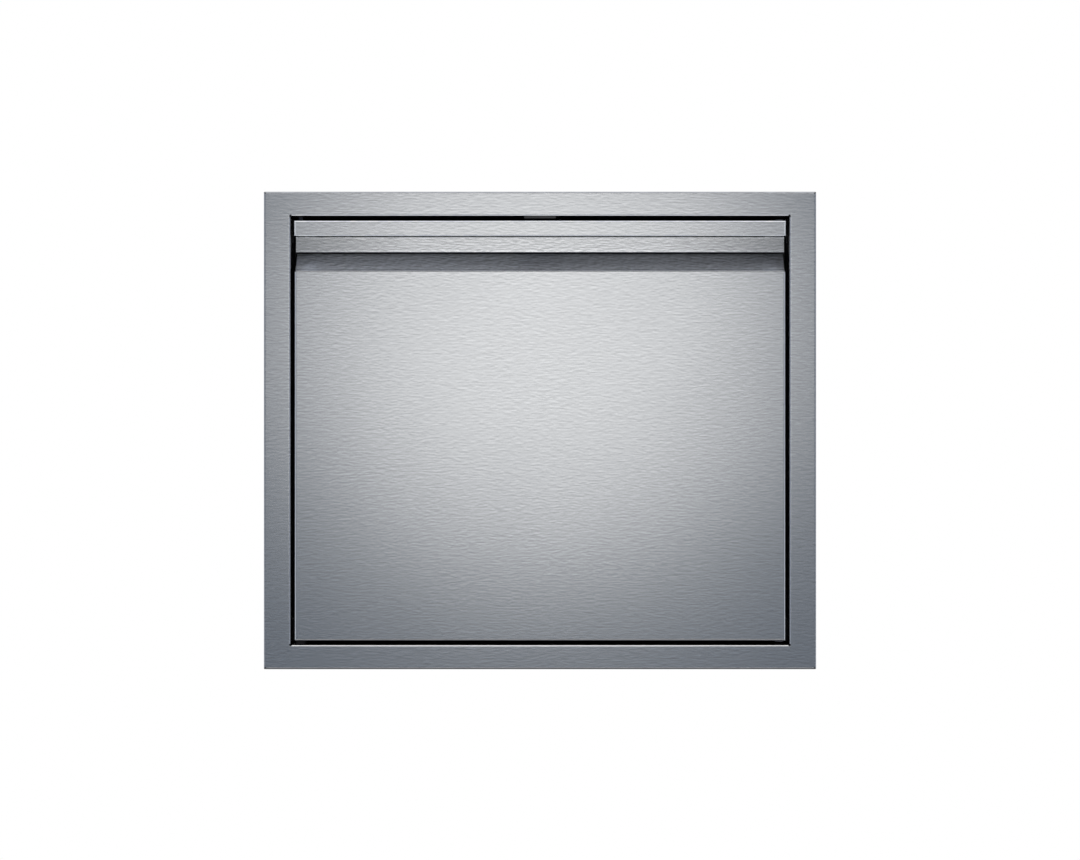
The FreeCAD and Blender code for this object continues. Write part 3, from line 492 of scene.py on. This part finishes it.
ring = add_node(seal_tree, "GeometryNodeCurvePrimitiveQuadrilateral").outputs[0]
sweep = add_node(seal_tree, "GeometryNodeCurveToMesh", {"Curve": ring, "Profile Curve": strip}).outputs[0]
corner = split(seal_tree, add_node(seal_tree, "GeometryNodeInputPosition").outputs[0])
inset = kept(seal_tree, "inset")
mitred = join(
    seal_tree,
    drawn_in(seal_tree, corner[0], seal["Half width"], inset),
    combine(seal_tree, "SUBTRACT", seal["Base"], kept(seal_tree, "rise")),
    drawn_in(seal_tree, corner[1], seal["Half height"], inset),
)
sweep = add_node(seal_tree, "GeometryNodeSetPosition", {0: sweep, "Position": mitred}).outputs[0]
outward = add_node(seal_tree, "GeometryNodeFlipFaces", {0: sweep}).outputs[0]
finish_tree(seal_tree, outward, seal_rubber)
ribbed_seal = grown("ribbed_seal", [(0.0, 0.0, 0.0)], seal_tree, seal_sizes)
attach(ribbed_seal, "frame")
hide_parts("door_seal")


# Pivot reinforcements
# Four thick plates of stainless steel, sheared to size and welded outside the jamb over the
# pivot holes, so that the thin sheet doesn't wear.

mill_steel = rolled_steel("plate_mill_steel", ROLLED, ROLLED_ROUGHNESS, seed=13.0)
dress("pivot_reinforcements", mill_steel)


# Bushings, thrust washer and hole plugs of the frame
# Turned and moulded black plastic, pressed into the jamb's pivot holes. The washer carries the
# door's weight, and the plugs close the holes on the side that has no pivots.

pivot_plastic = moulded(
    "pivot_black_plastic", (0.005, 0.005, 0.006), roughness=0.75, grain_size=0.0006, depth=0.00004, shine=0.1,
)
for piece in ("upper_bushing", "lower_bushing", "thrust_washer", "frame_hole_plugs"):
    dress(piece, pivot_plastic)


# Magnetic catch
# A flat dark housing of moulded plastic under the top jamb, with a ferrite magnet let in from
# below. Two steel rivets with domed heads hold it to the jamb.

catch_plastic = moulded(
    "catch_grey_plastic", (0.034, 0.035, 0.036), roughness=0.5, grain_size=0.0008, depth=0.00006,
)
dress("catch_body", catch_plastic)
catch_ferrite = moulded(
    "catch_ferrite", (0.03, 0.03, 0.032), roughness=0.6, grain_size=0.0004, depth=0.00008,
)
dress("catch_magnet", catch_ferrite)
bright_steel = rolled_steel("fastener_bright_steel", (0.62, 0.625, 0.63), roughness=0.24, seed=23.0)


def half(tree, number):
    """Half of a number."""
    return times(tree, number, 0.5)


DRUM_SIDES = 40
DRUM_RINGS = 6


def drum(tree, diameter, height):
    """A round bar in fine steps, standing about the middle."""
    inputs = {
        "Vertices": DRUM_SIDES, "Fill Segments": DRUM_RINGS, "Radius": half(tree, diameter), "Depth": height,
    }
    return add_node(tree, "GeometryNodeMeshCylinder", inputs, fill_type="TRIANGLE_FAN").outputs["Mesh"]


DOME_POWER = 2.5


def domed_head(tree, diameter, height, fall):
    """A round head that stands on z = 0. Its crown falls by a share of its height towards the rim."""
    x, y, z = split(tree, add_node(tree, "GeometryNodeInputPosition").outputs[0])
    share = combine(tree, "DIVIDE", length_of(tree, join(tree, x, y, 0.0)), half(tree, diameter))
    drop = times(tree, combine(tree, "POWER", share, DOME_POWER), fall)
    level = combine(tree, "ADD", z, half(tree, height))
    lowered = times(tree, level, combine(tree, "SUBTRACT", 1.0, drop))
    inputs = {0: drum(tree, diameter, height), "Position": join(tree, x, y, lowered)}
    return add_node(tree, "GeometryNodeSetPosition", inputs).outputs[0]


def moved(tree, geometry, height, turn=(0.0, 0.0, 0.0)):
    """A shape turned, then lifted."""
    inputs = {0: geometry, "Translation": join(tree, 0.0, 0.0, height), "Rotation": turn}
    return add_node(tree, "GeometryNodeTransform", inputs).outputs[0]


def united(tree, shapes):
    """Overlapping shapes as one solid."""
    whole = add_node(tree, "GeometryNodeMeshBoolean", operation="UNION", solver="MANIFOLD")
    for shape in shapes:
        tree.links.new(shape, whole.inputs["Mesh 2"])
    return whole.outputs["Mesh"]


RIVET_HEAD = 0.005
RIVET_HEAD_HEIGHT = 0.001
RIVET_FALL = 0.75
rivet_low, rivet_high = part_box("catch_rivets")
rivet_sizes = {
    "Head": RIVET_HEAD, "Head height": RIVET_HEAD_HEIGHT, "Shank": 0.003,
    "Grip": rivet_high.z - rivet_low.z - 2 * RIVET_HEAD_HEIGHT,
}
rivet_tree, rivet = sized_tree("domed_rivet", rivet_sizes)
rivet_head = domed_head(rivet_tree, rivet["Head"], rivet["Head height"], RIVET_FALL)
half_grip = half(rivet_tree, rivet["Grip"])
shank_length = combine(rivet_tree, "ADD", rivet["Grip"], rivet["Head height"])
rivet_shape = united(rivet_tree, (
    moved(rivet_tree, rivet_head, half_grip),
    moved(rivet_tree, rivet_head, times(rivet_tree, half_grip, -1.0), (math.pi, 0.0, 0.0)),
    drum(rivet_tree, rivet["Shank"], shank_length),
))
rivet_set = add_node(rivet_tree, "GeometryNodeInstanceOnPoints", {
    0: rivet["Places"], "Instance": rivet_shape,
}).outputs[0]
finish_tree(rivet_tree, rivet_set, bright_steel)
rivet_middle = (rivet_low + rivet_high) / 2
rivet_reach = rivet_high.x - RIVET_HEAD / 2
rivet_places = [(side * rivet_reach, rivet_middle.y, rivet_middle.z) for side in (-1, 1)]
domed_rivets = grown("domed_rivets", rivet_places, rivet_tree, rivet_sizes)
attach(domed_rivets, "frame")
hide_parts("catch_rivets")


# Door skin
# The brushed front panel. Its top edge is bent back as the sloping floor of the grip, and its
# sides and bottom are folded back to hold the liner.

SLOPE_RISE = 0.0202
SLOPE_DEPTH = 0.024
SLOPE_LENGTH = math.hypot(SLOPE_RISE, SLOPE_DEPTH)
SLOPE_FACING = (0.0, -SLOPE_RISE / SLOPE_LENGTH, SLOPE_DEPTH / SLOPE_LENGTH)
STEEPEST_FLOOR = 0.7
BEND_DEPTH = 0.002


def on_slope(tree):
    """1 on the sloping floor of the grip and 0 elsewhere."""
    faces_up = split(tree, object_facing(tree, "True Normal"))[2]
    depth = split(tree, object_place(tree))[1]
    bend_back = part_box("door_skin")[0].y + BEND_DEPTH
    behind_bend = either_side(tree, depth, bend_back, below=0.0, above=1.0, blur=0.0005)
    return times(tree, combine(tree, "GREATER_THAN", faces_up, STEEPEST_FLOOR), behind_bend)


SLOPE_SEED = 41.0
SLOPE_DULLNESS = 0.16


def skin_painted_light(tree):
    """Painted highlights and shade on the bends, shade at the bottom. The grip's floor has painted light to
    the left and painted shade towards the back.
    """
    x, depth, _ = split(tree, object_place(tree))
    faces_up = split(tree, object_facing(tree, "Normal"))[2]
    at_bottom = either_side(tree, faces_up, -0.12, below=0.18, above=1.0, blur=0.02)
    below_grip = either_side(tree, faces_up, 0.20, below=1.7, above=0.12, blur=0.04)
    edges = held_to(tree, on_bends(tree, SLOPE_FACING), times(tree, at_bottom, below_grip))
    to_the_right = spread(tree, x, low=-0.26, high=0.0, to_low=1.25, to_high=0.97)
    to_the_back = spread(tree, depth, low=0.009, high=0.0135, to_low=1.0, to_high=0.5)
    wisps = between(tree, brush_wisps(tree, SLOPE_SEED), 0.68, 1.32)
    slope = times(tree, to_the_right, to_the_back, wisps)
    return blend_colours(tree, on_slope(tree), edges, slope)


def skin_dullness(tree):
    """The belt doesn't reach the grip's floor well, so that it stays rougher."""
    return times(tree, on_slope(tree), SLOPE_DULLNESS)


# The skin's bends and the grip's floor carry painted light and shade.
skin_steel = brushed_steel(
    "skin_brushed_steel", STEEL, BRUSHED, seed=37.0, lightness=skin_painted_light, dullness=skin_dullness,
)
dress("door_skin", skin_steel)


# Grip channel
# The second folded sheet of the door: the back wall of the grip, its top and the hemmed lip
# that the fingers pull on. Deep inside it the back wall carries painted shade towards the ends.

GRIP_SEED = 53.0

# The painted light and shade of the back wall are placed from the wall's foot and from the lower edge of the
# lip.
WALL_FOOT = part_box("grip_channel")[0].z
LIP_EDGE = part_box("lip_block_left")[0].z


def grip_painted_light(tree):
    """Painted highlights on the bends. The back wall has painted shade towards its ends, painted highlights
    at its foot and under the lip, and a painted shadow behind the lip.
    """
    x, depth, z = split(tree, object_place(tree))
    faces_up = split(tree, object_facing(tree, "Normal"))[2]
    to_the_ends = spread(tree, combine(tree, "ABSOLUTE", x), low=0.14, high=0.27, to_low=0.93, to_high=0.68)
    # Painted highlights at the wall's foot and under the lip, and a painted shadow behind the lip.
    bright_foot = either_side(tree, z, WALL_FOOT + 0.002775, below=1.45, above=1.0, blur=0.0009)
    bright_top = either_side(tree, z, LIP_EDGE - 0.001475, below=1.0, above=1.9, blur=0.00125)
    shadow_line = either_side(tree, z, LIP_EDGE + 0.000325, below=1.0, above=0.03, blur=0.00015)
    behind_lip = either_side(tree, z, LIP_EDGE + 0.002275, below=0.0, above=0.5, blur=0.0005)
    shadow = combine(tree, "MAXIMUM", shadow_line, behind_lip)
    wisps = between(tree, brush_wisps(tree, GRIP_SEED), 0.89, 1.11)
    wall = times(tree, to_the_ends, bright_foot, bright_top, shadow, wisps)
    # Painted highlights on the bends, with painted shade on the downward bends near the wall's foot.
    inside = spread(tree, depth, low=0.0, high=0.010, to_low=0.0, to_high=1.0)
    painted_top_light = either_side(tree, z, WALL_FOOT + 0.008375, below=0.0, above=1.55)
    under_foot = either_side(tree, faces_up, -0.275, below=0.14, above=1.4, blur=0.055)
    painted_bend_light = combine(tree, "MAXIMUM", under_foot, painted_top_light)
    return times(tree, held_to(tree, inside, wall), held_to(tree, on_bends(tree), painted_bend_light))


grip_steel = brushed_steel("grip_brushed_steel", STEEL, BRUSHED, GRIP_SEED, lightness=grip_painted_light)
dress("grip_channel", grip_steel)


# Grip end plates
# Folded plates of the same brushed sheet, which close the sides of the door behind the grip
# and carry the foot of its back wall.

# The end plates' faces turned to the front are black painted shade.
end_plate_steel = brushed_steel(
    "end_plate_brushed_steel", STEEL, roughness=0.24, seed=61.0, lightness=front_faces_painted_shade,
)
dress("grip_end_plates", end_plate_steel)


# Liner and its screws
# The back panel of the door is thinner sheet with a plain satin finish and black painted shade
# on its faces inside the door. Six pan-head screws with cross recesses hold it to the skin's flanges.

liner_steel = brushed_steel(
    "liner_satin_steel", (0.56, 0.56, 0.56), roughness=0.3, seed=71.0, contrast=0.08, lightness=front_faces_painted_shade,
)
dress("door_liner", liner_steel)

SCREW_HEAD = 0.0076
SCREW_FALL = 0.6
BURIED_SHARE = 0.25
RECESS_WIDTH = 0.0009
MIDDLE_SCREW_X = 0.090
screw_sizes = {"Head": SCREW_HEAD, "Head height": 0.0022, "Shank": 0.004, "Length": 0.007, "Recess": 0.0042}
screw_tree, screw = sized_tree("pan_head_screw", screw_sizes)
screw_head = domed_head(screw_tree, screw["Head"], screw["Head height"], SCREW_FALL)
shank = drum(screw_tree, screw["Shank"], screw["Length"])
buried = times(screw_tree, screw["Head height"], BURIED_SHARE)
shank = moved(screw_tree, shank, combine(screw_tree, "SUBTRACT", buried, half(screw_tree, screw["Length"])))
arm = join(screw_tree, screw["Recess"], RECESS_WIDTH, screw["Head height"])
arms = []
for quarter in (0.0, math.pi / 2):
    bar = add_node(screw_tree, "GeometryNodeMeshCube", {"Size": arm}).outputs["Mesh"]
    arms.append(moved(screw_tree, bar, screw["Head height"], (0.0, 0.0, quarter)))
screw_shape = add_node(screw_tree, "GeometryNodeMeshBoolean", {
    "Mesh 1": united(screw_tree, (screw_head, shank)), "Mesh 2": united(screw_tree, arms),
}, operation="DIFFERENCE", solver="MANIFOLD").outputs["Mesh"]
screw_set = add_node(screw_tree, "GeometryNodeInstanceOnPoints", {
    0: screw["Places"], "Instance": screw_shape, "Rotation": (-math.pi / 2, 0.0, 0.0),
}).outputs[0]
chance = add_node(screw_tree, "FunctionNodeRandomValue", {
    2: 0.0, 3: math.pi / 2, "Seed": 5,
}, data_type="FLOAT").outputs[1]
screw_set = add_node(screw_tree, "GeometryNodeRotateInstances", {
    0: screw_set, "Rotation": join(screw_tree, 0.0, 0.0, chance), "Local Space": True,
}).outputs[0]
finish_tree(screw_tree, screw_set, bright_steel)
screws_low, screws_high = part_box("liner_screws")
screw_row = screws_low.z + SCREW_HEAD / 2
screw_top = screws_high.z - SCREW_HEAD / 2
screw_side = screws_high.x - SCREW_HEAD / 2
screw_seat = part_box("door_liner")[1].y
screw_places = []
for side in (-1, 1):
    for out, height in ((screw_side, screw_row), (screw_side, screw_top), (MIDDLE_SCREW_X, screw_row)):
        screw_places.append((side * out, screw_seat, height))
pan_head_screws = grown("pan_head_screws", screw_places, screw_tree, screw_sizes)
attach(pan_head_screws, "door")
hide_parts("liner_screws")


# Stiffeners and strike plate
# Two hat channels between liner and skin, welded to the liner and glued to the skin, and the
# plate of plain magnetic steel under the lip's top that the catch pulls on.

dress("door_stiffeners", mill_steel)
strike_steel = rolled_steel("strike_plain_steel", (0.46, 0.46, 0.47), roughness=0.35, seed=83.0)
dress("strike_plate", strike_steel)


# Lower pivot
# Thick plates welded into the bottom corners, and the turned pin in the left one that the
# door stands on.

RING_SCALE = 2600.0
TURNED_CLOUD_SCALE = 300.0
TURNED_SHINE = 0.05


def turned_steel(name, colour, roughness):
    """A bar turned on a lathe: fine rings round its length."""
    material, tree, surface = new_material(name)
    along_bar = split(tree, object_place(tree))[2]
    rings = noise(tree, join(tree, 0.0, 0.0, along_bar), RING_SCALE, detail=1.0)
    clouds = noise(tree, object_place(tree), TURNED_CLOUD_SCALE, detail=2.0)
    shade = mottled(tree, rings, colour, dark=0.8, light=1.1)
    dull = between(tree, clouds, roughness - TURNED_SHINE, roughness + TURNED_SHINE)
    give_surface(tree, surface, shade, dull, rings, depth=0.00003, strength=0.5)
    return material


dress("lower_pivot_plates", mill_steel)
pin_steel = turned_steel("pin_blackened_steel", (0.035, 0.037, 0.045), roughness=0.3)
dress("lower_pivot_pin", pin_steel)


# Lip end blocks
# Milled stainless blocks that close the two ends of the lip, each with a nose flush with the lip's
# front, lighter than the sheet as a painted highlight. The left one holds the sprung pin.

# The blocks' light colour is a painted highlight on the lip's ends.
block_steel = brushed_steel(
    "block_milled_steel_painted_highlight", (0.86, 0.86, 0.86), roughness=0.22, seed=97.0, contrast=0.05,
)
dress("lip_block_left", block_steel)
dress("lip_block_right", block_steel)


# Upper pivot
# A blackened turned pin with its finger lever, pushed up by a coil spring of round wire. The
# spring stands on a cap pressed into the left block and closes up as the lever is pulled down.

dress("upper_pivot_pin", pin_steel)
for piece in ("pin_lever", "spring_cap"):
    dress(piece, bright_steel)

STEPS_PER_TURN = 36
WIRE_SIDES = 12
coil_low, coil_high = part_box("pin_spring")
coil_height = coil_high.z - coil_low.z
coil_sizes = {"Diameter": coil_high.x - coil_low.x, "Height": coil_height, "Wire": 0.0006, "Turns": 4.5}
coil_tree, coil = sized_tree("coil_spring", coil_sizes)
wire_radius = half(coil_tree, coil["Wire"])
coil_radius = combine(coil_tree, "SUBTRACT", half(coil_tree, coil["Diameter"]), wire_radius)
coil_turns = add_node(coil_tree, "GeometryNodeCurveSpiral", {
    "Resolution": STEPS_PER_TURN, "Rotations": coil["Turns"],
    "Start Radius": coil_radius, "End Radius": coil_radius,
    "Height": combine(coil_tree, "SUBTRACT", coil["Height"], coil["Wire"]),
}).outputs[0]
wire_section = add_node(coil_tree, "GeometryNodeCurvePrimitiveCircle", {
    "Resolution": WIRE_SIDES, "Radius": wire_radius,
}).outputs[0]
coil_shape = add_node(coil_tree, "GeometryNodeCurveToMesh", {
    "Curve": coil_turns, "Profile Curve": wire_section, "Fill Caps": True,
}).outputs[0]
coil_shape = moved(coil_tree, coil_shape, wire_radius)
coil_set = add_node(coil_tree, "GeometryNodeInstanceOnPoints", {
    0: coil["Places"], "Instance": coil_shape,
}).outputs[0]
finish_tree(coil_tree, coil_set, bright_steel)
coil_foot = ((coil_low.x + coil_high.x) / 2, (coil_low.y + coil_high.y) / 2, coil_low.z)
coil_spring = grown("coil_spring", [coil_foot], coil_tree, coil_sizes)
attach(coil_spring, "door")
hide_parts("pin_spring")
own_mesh(coil_spring)


# Hole plugs of the door
# Moulded plugs in the door's pivot holes on the side that has no pivots, slate blue and a
# little shiny. The slate blue is a painted reflection, a faint bluish glint in the top gap.

# The blue of the plugs is a painted reflection in the top gap.
plug_plastic = moulded(
    "plug_slate_plastic", (0.040, 0.043, 0.058), roughness=0.4, grain_size=0.0006, depth=0.00004,
)
dress("door_hole_plugs", plug_plastic)


# Studio
# A white room with boards for the steel to mirror, a dark one behind the camera and grey ones
# at the sides. One round soft lamp stands in front, and a pale floor lies below.

world = bpy.data.worlds.new("white_room")
bpy.context.scene.world = world
world.use_nodes = True
background = world.node_tree.nodes["Background"]
background.inputs["Color"].default_value = WHITE
background.inputs["Strength"].default_value = 1.0

# A room that is white all round needs no search for its bright places.
world.cycles.sampling_method = "NONE"


def stage_sheet(name, corners, faces, material):
    """A flat sheet of the studio, which isn't part of the door."""
    mesh = bpy.data.meshes.new(name)
    mesh.from_pydata(corners, [], faces)
    mesh.materials.append(material)
    sheet = bpy.data.objects.new(name, mesh)
    bpy.context.scene.collection.objects.link(sheet)
    return sheet


def glowing_board(name, tone, corners):
    """A board that shows only in what the steel mirrors."""
    material = bpy.data.materials.new(name)
    material.use_nodes = True
    tree = material.node_tree
    tree.nodes.clear()
    glow = add_node(tree, "ShaderNodeEmission", {"Color": tone, "Strength": 1.0})
    add_node(tree, "ShaderNodeOutputMaterial", {"Surface": glow.outputs[0]})
    material.cycles.emission_sampling = "NONE"
    board = stage_sheet(name, corners, [(0, 1, 2, 3)], material)
    board.visible_camera = False
    board.visible_diffuse = False
    board.visible_transmission = False
    board.visible_shadow = False


BOARD_REACH = 6.0
BOARD_HEIGHT = 2.5
SIDE_BOARD_BACK = 3.0
FRONT_BOARD_TONE = (0.140, 0.171, 0.222, 1.0)
SIDE_BOARD_TONE = (0.48, 0.50, 0.54, 1.0)
BOARD_CORNERS = ((-1, -1), (1, -1), (1, 1), (-1, 1))
front_corners = [(way * BOARD_REACH, -BOARD_REACH, up * BOARD_HEIGHT) for way, up in BOARD_CORNERS]
glowing_board("front_board", FRONT_BOARD_TONE, front_corners)
for side, name in ((-1, "left_board"), (1, "right_board")):
    side_corners = []
    for way, up in BOARD_CORNERS:
        depth = SIDE_BOARD_BACK if way > 0 else -BOARD_REACH
        side_corners.append((side * BOARD_REACH, depth, up * BOARD_HEIGHT))
    glowing_board(name, SIDE_BOARD_TONE, side_corners)

FLOOR_LEVEL = -0.62
FLOOR_REACH = 1.0
FLOOR_STEPS = 48
FLOOR_CLOUD_SCALE = 40.0
FLOOR_DARK = (0.80, 0.80, 0.80, 1.0)
FLOOR_LIGHT = (0.84, 0.84, 0.84, 1.0)
floor_material, floor_tree, floor_surface = new_material("pale_floor")
floor_clouds = noise(floor_tree, object_place(floor_tree), FLOOR_CLOUD_SCALE, detail=3.0)
floor_share = between(floor_tree, floor_clouds, 0.0, 1.0)
floor_colour = blend_colours(floor_tree, floor_share, FLOOR_DARK, FLOOR_LIGHT)
floor_tree.links.new(floor_colour, floor_surface.inputs["Base Color"])
floor_surface.inputs["Roughness"].default_value = 0.9
floor_rim = []
for step in range(FLOOR_STEPS):
    angle = math.tau * step / FLOOR_STEPS
    floor_rim.append((FLOOR_REACH * math.cos(angle), FLOOR_REACH * math.sin(angle), FLOOR_LEVEL))
stage_sheet("pale_floor", floor_rim, [tuple(range(FLOOR_STEPS))], floor_material)

LAMP_DISTANCE = 3.0
LAMP_HEIGHT = 0.215
LAMP_DIAMETER = 0.987
LAMP_POWER = 2.94
LEVEL_GAZE = (math.radians(90.0), 0.0, 0.0)
lamp_data = bpy.data.lights.new("soft_front_lamp", "AREA")
lamp_data.shape = "DISK"
lamp_data.size = LAMP_DIAMETER
lamp_data.energy = LAMP_POWER
lamp = bpy.data.objects.new("soft_front_lamp", lamp_data)
lamp.location = (0.0, -LAMP_DISTANCE, LAMP_HEIGHT)
lamp.rotation_euler = LEVEL_GAZE
lamp.visible_camera = False
bpy.context.scene.collection.objects.link(lamp)


# Camera
# Square on to the door, from a long way off with a long lens. The frame fills the same share
# of the picture's width as in the photo, where both widths were measured in pixels.

CAMERA_DISTANCE = 3.6
CAMERA_HEIGHT = 0.0005
SENSOR_WIDTH = 36.0
PHOTO_WIDTH = 1080
FRAME_IN_PHOTO = 552.66
frame_low, frame_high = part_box("face_frame")
picture_width = (frame_high.x - frame_low.x) * PHOTO_WIDTH / FRAME_IN_PHOTO
camera_data = bpy.data.cameras.new("front_camera")
camera_data.sensor_width = SENSOR_WIDTH
camera_data.lens = SENSOR_WIDTH * CAMERA_DISTANCE / picture_width
camera = bpy.data.objects.new("front_camera", camera_data)
camera.location = (0.0, frame_low.y - CAMERA_DISTANCE, CAMERA_HEIGHT)
camera.rotation_euler = LEVEL_GAZE
bpy.context.scene.collection.objects.link(camera)
bpy.context.scene.camera = camera
bpy.context.scene.view_settings.view_transform = "Standard"
